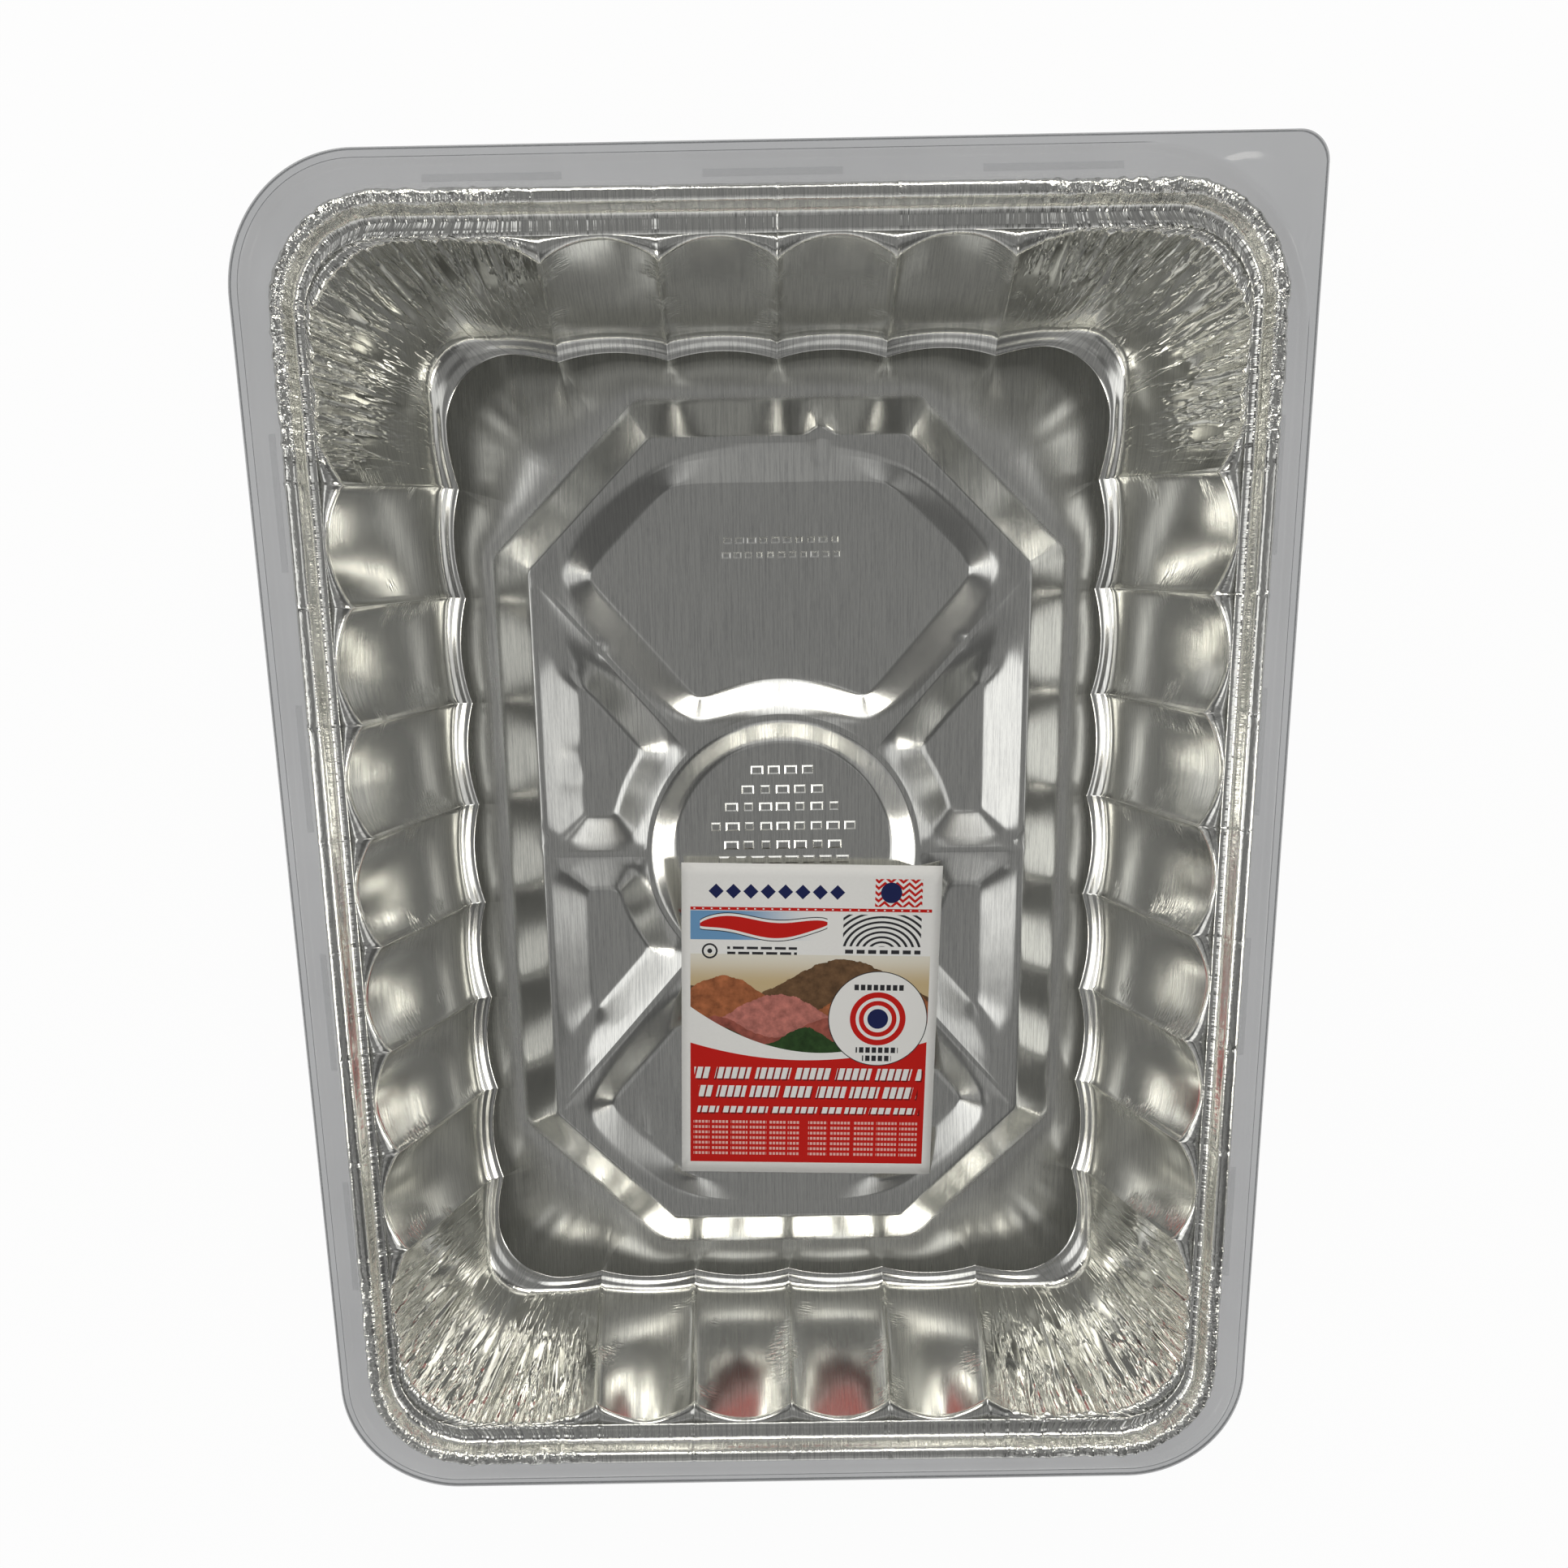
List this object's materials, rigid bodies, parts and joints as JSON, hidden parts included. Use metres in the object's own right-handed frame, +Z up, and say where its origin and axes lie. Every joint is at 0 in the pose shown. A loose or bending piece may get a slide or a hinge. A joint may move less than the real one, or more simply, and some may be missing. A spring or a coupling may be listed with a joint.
{
  "type": "foil roasting pan",
  "caption": "Rectangular stamped foil roasting pan with a pressed rack floor, nested in its upturned clear dome lid, with a loose card on the rack.",
  "frame": {"origin": "Under the centre of the upturned lid, on the surface that its crown rests on.", "axes": "+X runs across the pan, +Y along its length towards the end with the lid's pull tab, +Z up out of the pan's mouth."},
  "size_m": [0.306, 0.42, 0.0744],
  "materials": {
    "foil": "bright brushed foil",
    "clear_plastic": "clear formed sheet",
    "card": "satin print"
  },
  "bodies": {
    "root": {"foil_pan": "foil", "clear_lid": "clear_plastic", "label_card": "card"}
  },
  "joints": []
}
